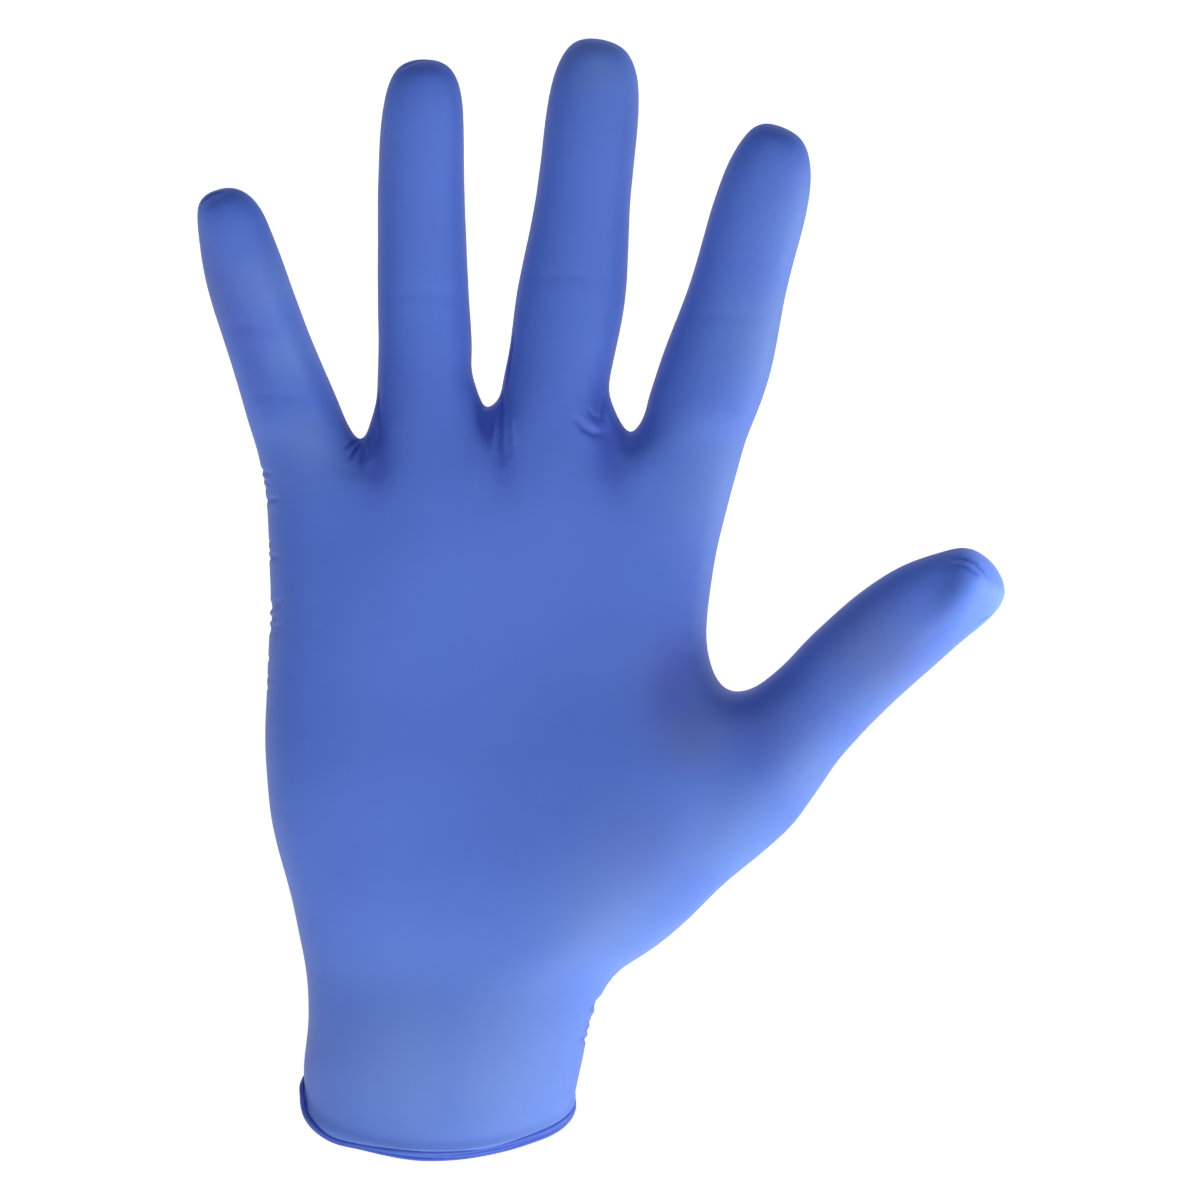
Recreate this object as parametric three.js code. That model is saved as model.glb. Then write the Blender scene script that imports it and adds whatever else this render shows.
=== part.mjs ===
import * as THREE from "three";

// A disposable nitrile exam glove with the form it has when worn: a right hand seen from its palm.
// It is one dipped film, hollow and open at the wrist, whose rim is rolled up into a bead.
// Frame, in millimetres: the origin is the middle of the cuff's mouth, +Z runs to the
// fingertips, +X to the thumb's side, and +Y to the back of the hand.

// The cuff and the palm
const FILM = 1.0; // wall
const BEAD_DIAMETER = 2.6; // rolled rim
const MOUTH_TILT = 20; // degrees: the rim hangs lower on the palm's side
const CUFF_LENGTH = 26; // mouth to wrist
const WRIST_WIDTH = 62;
const WRIST_DEPTH = 42;
const PALM_LENGTH = 114; // wrist to the roots of the fingers
const PALM_DEPTH = 28;

// Fingers and thumb: length from the root to the tip, and width at the root
const LITTLE_LENGTH = 59;
const LITTLE_WIDTH = 21;
const RING_LENGTH = 78.5;
const RING_WIDTH = 21;
const MIDDLE_LENGTH = 83.5;
const MIDDLE_WIDTH = 23.4;
const INDEX_LENGTH = 70;
const INDEX_WIDTH = 22.8;
const THUMB_LENGTH = 67.5;
const THUMB_WIDTH = 23;
const LITTLE_RING_WEB = 4; // film between two fingers at their roots
const RING_MIDDLE_WEB = 7;
const MIDDLE_INDEX_WEB = 6.5;
const WEB_DIP = 7; // how far a web slopes down to the palm's side and to the back

// Sections of the cuff, from the mouth up. Each column is a share: up of CUFF_LENGTH, left and
// right of WRIST_WIDTH, front and back of WRIST_DEPTH, and tilt of MOUTH_TILT.
// full is how square the section is: 2 is an ellipse.
const CUFF_SECTIONS = [
  { up: 0.0, left: -0.482, right: 0.459, front: 0.515, back: 0.52, tilt: 1, full: 1.8 },
  { up: 0.22, left: -0.48, right: 0.478, front: 0.51, back: 0.52, tilt: 0.9, full: 1.9 },
  { up: 0.6, left: -0.463, right: 0.507, front: 0.5, back: 0.5, tilt: 0.55, full: 2.1 },
];

// Sections of the hand, from the wrist up to the finger roots. up is a share of PALM_LENGTH.
// left and right are shares of the knuckles' width, measured from the cuff's middle.
// heel, hollow and ball are how far the palm's side stands out under the little finger, in the
// middle and under the thumb, and back is the other side, all shares of PALM_DEPTH.
// full is as for the cuff, and brim is the same for the ball of the thumb.
// pads and knuckles are how far the middles of the fingers stand out of the dips between
// them, shares of PALM_DEPTH too.
const HAND_SECTIONS = [
  { up: 0.0, left: -0.27, right: 0.345, heel: 0.66, hollow: 0.66, ball: 0.68, back: 0.66, full: 2.3 },
  { up: 0.07, left: -0.287, right: 0.46, heel: 0.68, hollow: 0.66, ball: 0.72, back: 0.64, full: 2.5, brim: 3.2 },
  { up: 0.19, left: -0.316, right: 0.532, heel: 0.68, hollow: 0.64, ball: 0.76, back: 0.62, full: 2.8, brim: 4.5 },
  { up: 0.32, left: -0.352, right: 0.597, heel: 0.66, hollow: 0.55, ball: 0.74, back: 0.6, full: 3.1, brim: 6 },
  { up: 0.445, left: -0.361, right: 0.597, heel: 0.62, hollow: 0.46, ball: 0.65, back: 0.58, full: 3.3, brim: 6 },
  { up: 0.545, left: -0.352, right: 0.553, heel: 0.56, hollow: 0.4, ball: 0.52, back: 0.56, full: 3.3, brim: 4.5 },
  { up: 0.7, left: -0.348, right: 0.539, heel: 0.52, hollow: 0.39, ball: 0.46, back: 0.54, full: 3.3 },
  { up: 0.82, left: -0.348, right: 0.566, heel: 0.48, hollow: 0.42, ball: 0.46, back: 0.53, full: 3.3, pads: 0.03 },
  { up: 0.92, left: -0.356, right: 0.595, heel: 0.46, hollow: 0.46, ball: 0.46, back: 0.5, full: 3.3, pads: 0.1, knuckles: 0.1 },
  { up: 1.0, left: -0.381, right: 0.619, heel: 0.39, hollow: 0.41, ball: 0.41, back: 0.44, full: 3.3, pads: 0.12, knuckles: 0.06 },
];
const THUMB_HOLE = { first: 1, last: 5 }; // the sections between which the thumb leaves the hand

// Sections of a finger, from just over its root to its tip. Shares: along of the length, wide
// and deep of the width, bow of the width towards the thumb's side. slant is how far the side
// towards the little finger runs ahead, a share of the width too.
const LITTLE_SECTIONS = [
  { along: 0.14, wide: 0.91, deep: 0.81, bow: 0.04 },
  { along: 0.3, wide: 0.84, deep: 0.79, bow: 0.03 },
  { along: 0.46, wide: 0.81, deep: 0.78, bow: 0.025 },
  { along: 0.62, wide: 0.8, deep: 0.74, bow: 0.025 },
  { along: 0.78, wide: 0.77, deep: 0.68, bow: 0.04 },
  { along: 0.9, wide: 0.66, deep: 0.56, bow: 0.065 },
  { along: 0.985, wide: 0.35, deep: 0.31, bow: 0.055 },
];
const RING_SECTIONS = [
  { along: 0.12, wide: 0.95, deep: 0.89, bow: 0.07 },
  { along: 0.25, wide: 0.92, deep: 0.87, bow: 0.06 },
  { along: 0.38, wide: 0.89, deep: 0.85, bow: 0.045 },
  { along: 0.52, wide: 0.86, deep: 0.82, bow: 0.04 },
  { along: 0.67, wide: 0.85, deep: 0.78, bow: 0.04 },
  { along: 0.82, wide: 0.83, deep: 0.72, bow: 0.06 },
  { along: 0.93, wide: 0.72, deep: 0.6, bow: 0.09 },
  { along: 0.995, wide: 0.39, deep: 0.35, bow: 0.09 },
];
const MIDDLE_SECTIONS = [
  { along: 0.12, wide: 0.9, deep: 0.86, bow: -0.045 },
  { along: 0.24, wide: 0.94, deep: 0.86, bow: -0.02 },
  { along: 0.34, wide: 0.98, deep: 0.86, bow: 0.0 },
  { along: 0.48, wide: 0.88, deep: 0.8, bow: 0.01 },
  { along: 0.62, wide: 0.81, deep: 0.76, bow: 0.01 },
  { along: 0.78, wide: 0.83, deep: 0.74, bow: 0.005 },
  { along: 0.91, wide: 0.75, deep: 0.62, bow: 0.005 },
  { along: 0.99, wide: 0.4, deep: 0.34, bow: 0.0 },
];
const INDEX_SECTIONS = [
  { along: 0.12, wide: 0.97, deep: 0.88, bow: 0.02 },
  { along: 0.25, wide: 1.0, deep: 0.86, bow: 0.04 },
  { along: 0.4, wide: 0.9, deep: 0.8, bow: 0.06 },
  { along: 0.55, wide: 0.85, deep: 0.76, bow: 0.06 },
  { along: 0.7, wide: 0.85, deep: 0.74, bow: 0.07 },
  { along: 0.83, wide: 0.8, deep: 0.68, bow: 0.07 },
  { along: 0.93, wide: 0.64, deep: 0.56, bow: 0.07 },
  { along: 0.995, wide: 0.36, deep: 0.32, bow: 0.065 },
];
const THUMB_SECTIONS = [
  { along: 0.08, wide: 1.18, deep: 1.14, bow: -0.04, slant: 0.24 },
  { along: 0.22, wide: 1.01, deep: 1.0, bow: -0.14, slant: 0.1 },
  { along: 0.38, wide: 0.93, deep: 0.88, bow: -0.19 },
  { along: 0.56, wide: 0.95, deep: 0.84, bow: -0.22 },
  { along: 0.72, wide: 0.92, deep: 0.78, bow: -0.205 },
  { along: 0.87, wide: 0.85, deep: 0.66, bow: -0.155 },
  { along: 0.98, wide: 0.6, deep: 0.46, bow: -0.13 },
];

// A finger's root lies over its stretch of the knuckles: rise is how far over them, and lean and
// curl are degrees, towards the thumb's side and, at the tip, towards the palm.
const FINGERS = [
  { length: LITTLE_LENGTH, width: LITTLE_WIDTH, rise: -0.143, lean: -18.6, curl: 10, sections: LITTLE_SECTIONS },
  { length: RING_LENGTH, width: RING_WIDTH, rise: 0.048, lean: -0.6, curl: 8, sections: RING_SECTIONS },
  { length: MIDDLE_LENGTH, width: MIDDLE_WIDTH, rise: 0.043, lean: 6.4, curl: 6, sections: MIDDLE_SECTIONS },
  { length: INDEX_LENGTH, width: INDEX_WIDTH, rise: -0.088, lean: 14.3, curl: 7, sections: INDEX_SECTIONS },
];
const WEBS = [
  { gap: LITTLE_RING_WEB, rise: -0.643 },
  { gap: RING_MIDDLE_WEB, rise: 0.5 },
  { gap: MIDDLE_INDEX_WEB, rise: -0.286 },
];
const THUMB = { lean: 49.4, curl: 8, out: 0.633, up: 0.38, forward: 0.16, sections: THUMB_SECTIONS };

const radians = THREE.MathUtils.degToRad;
const mix = THREE.MathUtils.lerp;

// The knuckles' width is the four fingers side by side with the webs between them.
const spans = FINGERS.map(({ width }, i) => {
  const before = i > 0 ? WEBS[i - 1].gap / 2 : 0;
  const after = i < WEBS.length ? WEBS[i].gap / 2 : 0;
  return before + width + after;
});
const knuckleWidth = spans.reduce((sum, span) => sum + span, 0);

// Where the columns of the hand's sections lie, from -1 at the little finger's edge to 1 at the
// thumb's: an edge column, then one at the middle of each finger and one at each web.
const starts = spans.map((_, i) => spans.slice(0, i).reduce((sum, span) => sum + span, 0));
const shareOf = (across) => (2 * across) / knuckleWidth - 1;
const middles = spans.map((span, i) => shareOf(starts[i] + span / 2));
const webShares = starts.slice(1).map(shareOf);
const EDGE_COLUMN = 0.66; // how far towards the outer finger's middle the edge column lies
const columns = [
  mix(-1, middles[0], 1 - EDGE_COLUMN),
  ...middles.flatMap((middle, i) => (i < webShares.length ? [middle, webShares[i]] : [middle])),
  mix(1, middles[middles.length - 1], 1 - EDGE_COLUMN),
];

// The cage is a coarse net of four-sided faces, which Catmull-Clark subdivision then rounds.
const points = [];
const faces = [];
const addPoint = (x, y, z) => points.push(new THREE.Vector3(x, y, z)) - 1;

// A section's points run from the thumb's side over the back to the little finger's side, and
// return over the palm.
function section(row) {
  const { left, right, height, heel, hollow, ball, back, full, brim = full } = row;
  const { tilt = 0, pads = 0, knuckles = 0 } = row;
  const at = (share, depth) => {
    const x = mix(left, right, (share + 1) / 2);
    return addPoint(x, depth, height + depth * Math.tan(radians(tilt)));
  };
  const round = (share, power) => Math.pow(1 - Math.pow(Math.abs(share), power), 1 / power);
  const ease = (share) => THREE.MathUtils.smoothstep(Math.abs(share), 0, 0.65);
  const overFinger = (i) => (i % 2 ? 0.5 : -0.5);
  const backAt = (share, i) => at(share, round(share, full) * (back + knuckles * overFinger(i)));
  const frontAt = (share, i) => {
    const depth = mix(hollow, share < 0 ? heel : ball, ease(share));
    return at(share, -round(share, share < 0 ? full : brim) * (depth + pads * overFinger(i)));
  };
  return [
    at(1, 0),
    ...columns.map((share, i) => backAt(share, i)).reverse(),
    at(-1, 0),
    ...columns.map((share, i) => frontAt(share, i)),
  ];
}

// Joins two rings of as many points with four-sided faces.
function joinRings(lower, upper, skip = () => false) {
  lower.forEach((_, i) => {
    const next = (i + 1) % lower.length;
    if (!skip(i)) faces.push([lower[i], lower[next], upper[next], upper[i]]);
  });
}

const cuffRows = CUFF_SECTIONS.map(({ up, left, right, front, back, tilt, full }) => ({
  height: up * CUFF_LENGTH,
  left: left * WRIST_WIDTH,
  right: right * WRIST_WIDTH,
  heel: front * WRIST_DEPTH,
  hollow: front * WRIST_DEPTH,
  ball: front * WRIST_DEPTH,
  back: back * WRIST_DEPTH,
  tilt: tilt * MOUTH_TILT,
  full,
}));
const handRows = HAND_SECTIONS.map((row) => ({
  height: CUFF_LENGTH + row.up * PALM_LENGTH,
  left: row.left * knuckleWidth,
  right: row.right * knuckleWidth,
  heel: row.heel * PALM_DEPTH,
  hollow: row.hollow * PALM_DEPTH,
  ball: row.ball * PALM_DEPTH,
  back: row.back * PALM_DEPTH,
  full: row.full,
  brim: row.brim,
  pads: (row.pads ?? 0) * PALM_DEPTH,
  knuckles: (row.knuckles ?? 0) * PALM_DEPTH,
}));
const rings = [...cuffRows, ...handRows].map(section);
const handRings = rings.slice(cuffRows.length);
const ringSize = rings[0].length;

// The thumb's hole takes the faces on both sides of the thumb-side column, point 0.
const holeRings = handRings.slice(THUMB_HOLE.first, THUMB_HOLE.last + 1);
rings.slice(0, -1).forEach((ring, i) => {
  const row = i - cuffRows.length;
  const holed = row >= THUMB_HOLE.first && row < THUMB_HOLE.last;
  joinRings(ring, rings[i + 1], (j) => holed && (j === 0 || j === ringSize - 1));
});
const top = holeRings.at(-1);
const bottom = holeRings[0];
const thumbHole = [
  top[0],
  ...holeRings.map((ring) => ring[ringSize - 1]).reverse(),
  bottom[0],
  ...holeRings.map((ring) => ring[1]),
];

// A stall: rings round its axis, the first joined to the loop that it grows from, and a lid on
// the last. lean is the axis's angle towards the thumb's side, curl how far its tip bends to the
// palm's side, and turn the first point's angle, from the thumb's side towards the back.
function stall(loop, root, sections, length, width, lean, curl, turn = 0) {
  const straight = new THREE.Vector3(Math.sin(radians(lean)), 0, Math.cos(radians(lean)));
  const side = new THREE.Vector3(Math.cos(radians(lean)), 0, -Math.sin(radians(lean)));
  const corners = loop.length;
  const inset = (2 + Math.cos((2 * Math.PI) / corners)) / 3; // subdivision draws a ring in this far
  const last = sections.reduce((lower, { along, wide, deep, bow, slant = 0 }) => {
    const bend = Math.tan(radians(curl)) * along;
    const axis = straight.clone().setY(-2 * bend).normalize();
    const back = axis.clone().cross(side);
    const centre = root.clone().addScaledVector(straight, along * length).addScaledVector(side, bow * width);
    centre.y -= bend * along * length;
    const ring = loop.map((_, i) => {
      const angle = turn + (2 * Math.PI * i) / corners;
      const p = centre.clone().addScaledVector(axis, -Math.cos(angle) * slant * width);
      p.addScaledVector(side, (Math.cos(angle) * wide * width) / 2 / inset);
      p.addScaledVector(back, (Math.sin(angle) * deep * width) / 2 / inset);
      return addPoint(p.x, p.y, p.z);
    });
    joinRings(lower, ring);
    return ring;
  }, loop);
  faces.push(last);
}

// Webs: the middle point of each, between its points on the palm's side and on the back.
const topRing = rings.at(-1);
const knuckleLine = handRows.at(-1);
const acrossOf = (share) => mix(knuckleLine.left, knuckleLine.right, (share + 1) / 2);
const webPoints = WEBS.map(({ rise }, i) => {
  const frontPoint = topRing[ringSize / 2 + 3 + 2 * i];
  const backPoint = topRing[ringSize / 2 - 3 - 2 * i];
  for (const p of [frontPoint, backPoint]) points[p].z += (rise - 1) * WEB_DIP;
  const middle = addPoint(acrossOf(webShares[i]), 0, knuckleLine.height + (rise + 0.5) * WEB_DIP);
  return { frontPoint, backPoint, middle };
});
const half = ringSize / 2;
FINGERS.forEach(({ length, width, rise, lean, curl, sections }, i) => {
  const firstBack = half - 1 - 2 * i; // the back's columns run from the thumb's side
  const firstFront = half + 1 + 2 * i;
  const loop = [
    i < WEBS.length ? webPoints[i].middle : topRing[0],
    topRing[firstBack - 2],
    topRing[firstBack - 1],
    topRing[firstBack],
    i > 0 ? webPoints[i - 1].middle : topRing[half],
    topRing[firstFront],
    topRing[firstFront + 1],
    topRing[firstFront + 2],
  ];
  const root = new THREE.Vector3(acrossOf(middles[i]), 0.5, knuckleLine.height + rise * width);
  stall(loop, root, sections, length, width, lean, curl);
});

const thumbRoot = new THREE.Vector3(
  THUMB.out * knuckleWidth,
  -THUMB.forward * PALM_DEPTH,
  CUFF_LENGTH + THUMB.up * PALM_LENGTH,
);
stall(thumbHole, thumbRoot, THUMB.sections, THUMB_LENGTH, THUMB_WIDTH, THUMB.lean, THUMB.curl, Math.PI);

// One step of Catmull-Clark subdivision. A rim, such as the mouth's, keeps to its own curve.
function subdivide({ points, faces }) {
  const facePoints = faces.map((face) =>
    face.reduce((sum, p) => sum.add(points[p]), new THREE.Vector3()).divideScalar(face.length),
  );
  const edges = new Map();
  faces.forEach((face, f) =>
    face.forEach((a, i) => {
      const b = face[(i + 1) % face.length];
      const key = Math.min(a, b) + "-" + Math.max(a, b);
      if (!edges.has(key)) edges.set(key, { a, b, faces: [] });
      edges.get(key).faces.push(f);
    }),
  );
  const around = points.map(() => ({ faces: [], edges: [], rim: [] }));
  faces.forEach((face, f) => face.forEach((p) => around[p].faces.push(f)));
  const refined = [];
  for (const edge of edges.values()) {
    edge.middle = points[edge.a].clone().add(points[edge.b]).multiplyScalar(0.5);
    const onRim = edge.faces.length === 1;
    for (const p of [edge.a, edge.b]) around[p][onRim ? "rim" : "edges"].push(edge.middle);
    edge.point = edge.middle.clone();
    if (!onRim) {
      const sides = edge.faces.reduce((sum, f) => sum.add(facePoints[f]), new THREE.Vector3());
      edge.point.multiplyScalar(2).add(sides).divideScalar(4);
    }
  }
  points.forEach((point, p) => {
    const near = around[p];
    if (near.rim.length) {
      refined.push(near.rim[0].clone().add(near.rim[1]).add(point.clone().multiplyScalar(2)).divideScalar(4));
      return;
    }
    const count = near.faces.length;
    if (!count) {
      refined.push(point);
      return;
    }
    const moved = point.clone().multiplyScalar(count - 3);
    near.faces.forEach((f) => moved.addScaledVector(facePoints[f], 1 / count));
    near.edges.forEach((middle) => moved.addScaledVector(middle, 2 / count));
    refined.push(moved.divideScalar(count));
  });
  const firstFace = refined.length;
  refined.push(...facePoints);
  for (const edge of edges.values()) edge.index = refined.push(edge.point) - 1;
  const edgeOf = (a, b) => edges.get(Math.min(a, b) + "-" + Math.max(a, b)).index;
  const quads = faces.flatMap((face, f) =>
    face.map((p, i) => [
      p,
      edgeOf(p, face[(i + 1) % face.length]),
      firstFace + f,
      edgeOf(face.at(i - 1), p),
    ]),
  );
  return { points: refined, faces: quads };
}

const LEVELS = 1;
let skin = { points, faces };
for (let level = 0; level < LEVELS; level += 1) skin = subdivide(skin);

// Unit normals at the points, from the faces around them.
function normalsOf({ points, faces }) {
  const normals = points.map(() => new THREE.Vector3());
  for (const [a, b, c, d] of faces) {
    const across = points[c].clone().sub(points[a]);
    const normal = across.cross(points[d].clone().sub(points[b])).normalize();
    for (const p of [a, b, c, d]) normals[p].add(normal);
  }
  return normals.map((normal) => normal.normalize());
}

// The wall: the skin, the same skin drawn in by the film, and the rolled rim between them.
function glove() {
  const normals = normalsOf(skin);
  const inner = skin.points.map((p, i) => p.clone().addScaledVector(normals[i], -FILM));
  const all = [...skin.points, ...inner];
  const shift = skin.points.length;
  const quads = [...skin.faces, ...skin.faces.map((face) => face.map((p) => p + shift).reverse())];

  // The rim's points in order round the mouth: each starts an edge that only one face has.
  const next = new Map();
  const used = new Set(skin.faces.flatMap((face) => face.map((p, i) => p + ">" + face[(i + 1) % face.length])));
  for (const key of used) {
    const [a, b] = key.split(">").map(Number);
    if (!used.has(b + ">" + a)) next.set(a, b);
  }
  const rim = [next.keys().next().value];
  while (next.get(rim.at(-1)) !== rim[0]) rim.push(next.get(rim.at(-1)));

  // The bead winds outwards: its turn starts on the film's outside and ends on its inside.
  const BEAD_STEPS = 6;
  const radius = BEAD_DIAMETER / 2;
  const start = Math.acos(FILM / radius - 1);
  const loops = [rim];
  for (let step = 0; step <= BEAD_STEPS; step += 1) {
    const angle = mix(Math.min(start, radians(60)), -Math.PI, step / BEAD_STEPS);
    loops.push(
      rim.map((p) => {
        const out = normals[p].clone().setZ(0).normalize();
        const across = radius - FILM + radius * Math.cos(angle);
        const up = radius * (Math.sin(angle) - Math.sin(start));
        const point = skin.points[p].clone().addScaledVector(out, across);
        point.z += up;
        return all.push(point) - 1;
      }),
    );
  }
  loops.push(rim.map((p) => p + shift));
  loops.slice(0, -1).forEach((loop, i) => {
    loop.forEach((p, j) => {
      const k = (j + 1) % loop.length;
      quads.push([p, loops[i + 1][j], loops[i + 1][k], loop[k]]);
    });
  });

  const geometry = new THREE.BufferGeometry().setFromPoints(all);
  geometry.setIndex(quads.flatMap(([a, b, c, d]) => [a, b, c, a, c, d]));
  return geometry;
}

const nitrile = new THREE.MeshStandardMaterial({ color: 0x5070c8, roughness: 0.55, metalness: 0 });

const group = new THREE.Group();
const mesh = new THREE.Mesh(glove(), nitrile);
mesh.name = "glove";
group.add(mesh);

export default group;
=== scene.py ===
"""A nitrile exam glove in its worn shape, seen from the palm, over a plain pale floor."""

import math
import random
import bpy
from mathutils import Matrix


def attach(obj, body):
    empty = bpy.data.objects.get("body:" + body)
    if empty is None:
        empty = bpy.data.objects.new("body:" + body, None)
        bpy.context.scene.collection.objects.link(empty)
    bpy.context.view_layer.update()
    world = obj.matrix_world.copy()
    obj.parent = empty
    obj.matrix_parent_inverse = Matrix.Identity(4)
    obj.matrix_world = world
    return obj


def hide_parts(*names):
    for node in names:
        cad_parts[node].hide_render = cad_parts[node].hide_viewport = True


bl_info = {
    "name": "Nitrile Exam Glove",
    "version": (1, 0, 0),
    "blender": (4, 5, 0),
    "location": "View3D > Sidebar > Glove",
    "description": "Models a thin dipped glove with its creases, its rolled bead and a studio",
    "category": "Add Mesh",
}

import bmesh
import bpy
import numpy as np
from bpy.props import FloatProperty, FloatVectorProperty, PointerProperty
from mathutils import Vector, noise
from mathutils.bvhtree import BVHTree

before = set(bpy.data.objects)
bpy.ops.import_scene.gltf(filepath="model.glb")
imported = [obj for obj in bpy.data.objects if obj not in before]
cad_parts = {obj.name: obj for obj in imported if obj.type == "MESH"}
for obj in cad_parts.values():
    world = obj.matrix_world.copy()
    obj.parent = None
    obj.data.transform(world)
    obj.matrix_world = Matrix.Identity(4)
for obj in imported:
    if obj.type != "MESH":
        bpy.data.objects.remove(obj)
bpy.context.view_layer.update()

MM = 0.001

# Sections of the cuff, from the mouth up. up is a share of the cuff's length, left and right of
# the wrist's width, front and back of its depth, tilt of the mouth's tilt. full is how square the
# section is: 2 is an ellipse.
CUFF_COLUMNS = ("up", "left", "right", "front", "back", "tilt", "full")
CUFF_SECTIONS = (
    (0.0, -0.482, 0.459, 0.515, 0.52, 1, 1.8),
    (0.22, -0.48, 0.478, 0.51, 0.52, 0.9, 1.9),
    (0.6, -0.463, 0.507, 0.5, 0.5, 0.55, 2.1),
)

# Sections of the hand, from the wrist up to the finger roots. up is a share of the palm's length,
# and left and right are shares of the knuckles' width. full is how square the section is, but brim
# where it runs from the palm's middle to the thumb's edge. The others are shares of the palm's
# depth: heel, hollow and ball are the palm's side under the little finger, in the middle and under
# the thumb, back is the back, and pads and knuckles are how far the fingers' middles stand out of
# the dips between them.
HAND_COLUMNS = ("up", "left", "right", "heel", "hollow", "ball", "back", "full", "brim", "pads", "knuckles")
HAND_SECTIONS = (
    (0.0, -0.27, 0.345, 0.66, 0.66, 0.68, 0.66, 2.3, 2.3, 0, 0),
    (0.07, -0.287, 0.46, 0.68, 0.66, 0.72, 0.64, 2.5, 3.2, 0, 0),
    (0.19, -0.316, 0.532, 0.68, 0.64, 0.76, 0.62, 2.8, 4.5, 0, 0),
    (0.32, -0.352, 0.597, 0.66, 0.55, 0.74, 0.6, 3.1, 6, 0, 0),
    (0.445, -0.361, 0.597, 0.62, 0.46, 0.65, 0.58, 3.3, 6, 0, 0),
    (0.545, -0.352, 0.553, 0.56, 0.4, 0.52, 0.56, 3.3, 4.5, 0, 0),
    (0.7, -0.348, 0.539, 0.52, 0.39, 0.46, 0.54, 3.3, 3.3, 0, 0),
    (0.82, -0.348, 0.566, 0.46, 0.41, 0.44, 0.53, 3.3, 3.3, 0.02, 0),
    (0.92, -0.356, 0.595, 0.42, 0.41, 0.42, 0.5, 3.3, 3.3, 0.06, 0.1),
    (1.0, -0.381, 0.619, 0.37, 0.38, 0.385, 0.44, 3.3, 3.3, 0.1, 0.06),
)
THUMB_FIRST, THUMB_LAST = 1, 5  # the hand's sections between which the thumb leaves it

# Sections of the fingers and the thumb, from the root up: along, wide, deep, bow and slant. along is
# a share of the length, and the rest are shares of the root's width. bow is towards the thumb's
# side, and slant is how far the little finger's side runs ahead.
LITTLE_SECTIONS = (
    (0.14, 0.91, 0.92, 0.04, 0),
    (0.3, 0.84, 0.84, 0.03, 0),
    (0.46, 0.81, 0.78, 0.025, 0),
    (0.62, 0.8, 0.74, 0.025, 0),
    (0.78, 0.77, 0.68, 0.04, 0),
    (0.9, 0.66, 0.56, 0.065, 0),
    (0.985, 0.35, 0.31, 0.055, 0),
)
RING_SECTIONS = (
    (0.12, 0.95, 0.97, 0.07, 0),
    (0.25, 0.92, 0.91, 0.06, 0),
    (0.38, 0.89, 0.85, 0.045, 0),
    (0.52, 0.86, 0.82, 0.04, 0),
    (0.67, 0.85, 0.78, 0.04, 0),
    (0.82, 0.83, 0.72, 0.06, 0),
    (0.93, 0.72, 0.6, 0.09, 0),
    (0.995, 0.39, 0.35, 0.09, 0),
)
MIDDLE_SECTIONS = (
    (0.12, 0.9, 0.94, -0.045, 0),
    (0.24, 0.94, 0.9, -0.02, 0),
    (0.34, 0.98, 0.86, 0.0, 0),
    (0.48, 0.88, 0.8, 0.01, 0),
    (0.62, 0.81, 0.76, 0.01, 0),
    (0.78, 0.83, 0.74, 0.005, 0),
    (0.91, 0.75, 0.62, 0.005, 0),
    (0.99, 0.4, 0.34, 0.0, 0),
)
INDEX_SECTIONS = (
    (0.12, 0.97, 0.95, 0.02, 0),
    (0.25, 1.0, 0.89, 0.04, 0),
    (0.4, 0.9, 0.8, 0.06, 0),
    (0.55, 0.85, 0.76, 0.06, 0),
    (0.7, 0.85, 0.74, 0.07, 0),
    (0.83, 0.8, 0.68, 0.07, 0),
    (0.93, 0.64, 0.56, 0.07, 0),
    (0.995, 0.36, 0.32, 0.065, 0),
)
THUMB_SECTIONS = (
    (0.08, 1.18, 1.14, -0.04, 0.24),
    (0.22, 1.01, 1.0, -0.14, 0.1),
    (0.38, 0.93, 0.88, -0.19, 0),
    (0.56, 0.95, 0.84, -0.22, 0),
    (0.72, 0.92, 0.78, -0.205, 0),
    (0.87, 0.85, 0.66, -0.155, 0),
    (0.98, 0.6, 0.46, -0.13, 0),
)
# Each finger: its name, its root's rise over the hand's last section in mm, its lean to the thumb's
# side and its tip's curl to the palm in degrees, and its sections.
FINGERS = (
    ("little", -3, -18.6, 10, LITTLE_SECTIONS),
    ("ring", 1, -0.6, 8, RING_SECTIONS),
    ("middle", 1, 6.4, 5, MIDDLE_SECTIONS),
    ("index", -2, 14.3, 7, INDEX_SECTIONS),
)
FINGERS_BACK = 0.5 * MM  # how far behind the hand's middle the fingers start
# Each web: its name and its rise over the hand's last section in mm.
WEBS = (("little_ring_web", -4.5), ("ring_middle_web", 3.5), ("middle_index_web", -2))
THUMB_LEAN, THUMB_CURL = 49.4, 8  # degrees
# The thumb's root: shares of the knuckles' width, the palm's length and the palm's depth.
THUMB_OUT, THUMB_UP, THUMB_FORWARD = 0.633, 0.38, 0.16

EDGE_COLUMN = 0.34  # how far in from an edge, towards the outer finger's middle, a column lies
HOLLOW_REACH = 0.65  # the share of half the hand over which the palm's hollow rises to its sides
FINE, COARSE = 3, 2  # levels of subdivision of the outer wall and of the inner one

# The camera looks along +Y and a little down, over a long lens.
VIEW_DISTANCE = 1.6
VIEW_DOWN = math.radians(5)
VIEW_TARGET = Vector((0.0334, 0, 0.1055))
VIEW_WIDTH = 0.2508  # how much of the glove's plane the picture takes in


def view_direction():
    """The way that the camera looks."""
    return Vector((0, math.cos(VIEW_DOWN), -math.sin(VIEW_DOWN)))


def length(name, millimetres, description):
    return FloatProperty(
        name=name, description=description, default=millimetres * MM, min=0.0, unit="LENGTH", precision=4
    )


def colour(name, value, description):
    return FloatVectorProperty(
        name=name, description=description, default=value, size=3, min=0.0, max=1.0, subtype="COLOR"
    )


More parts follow.
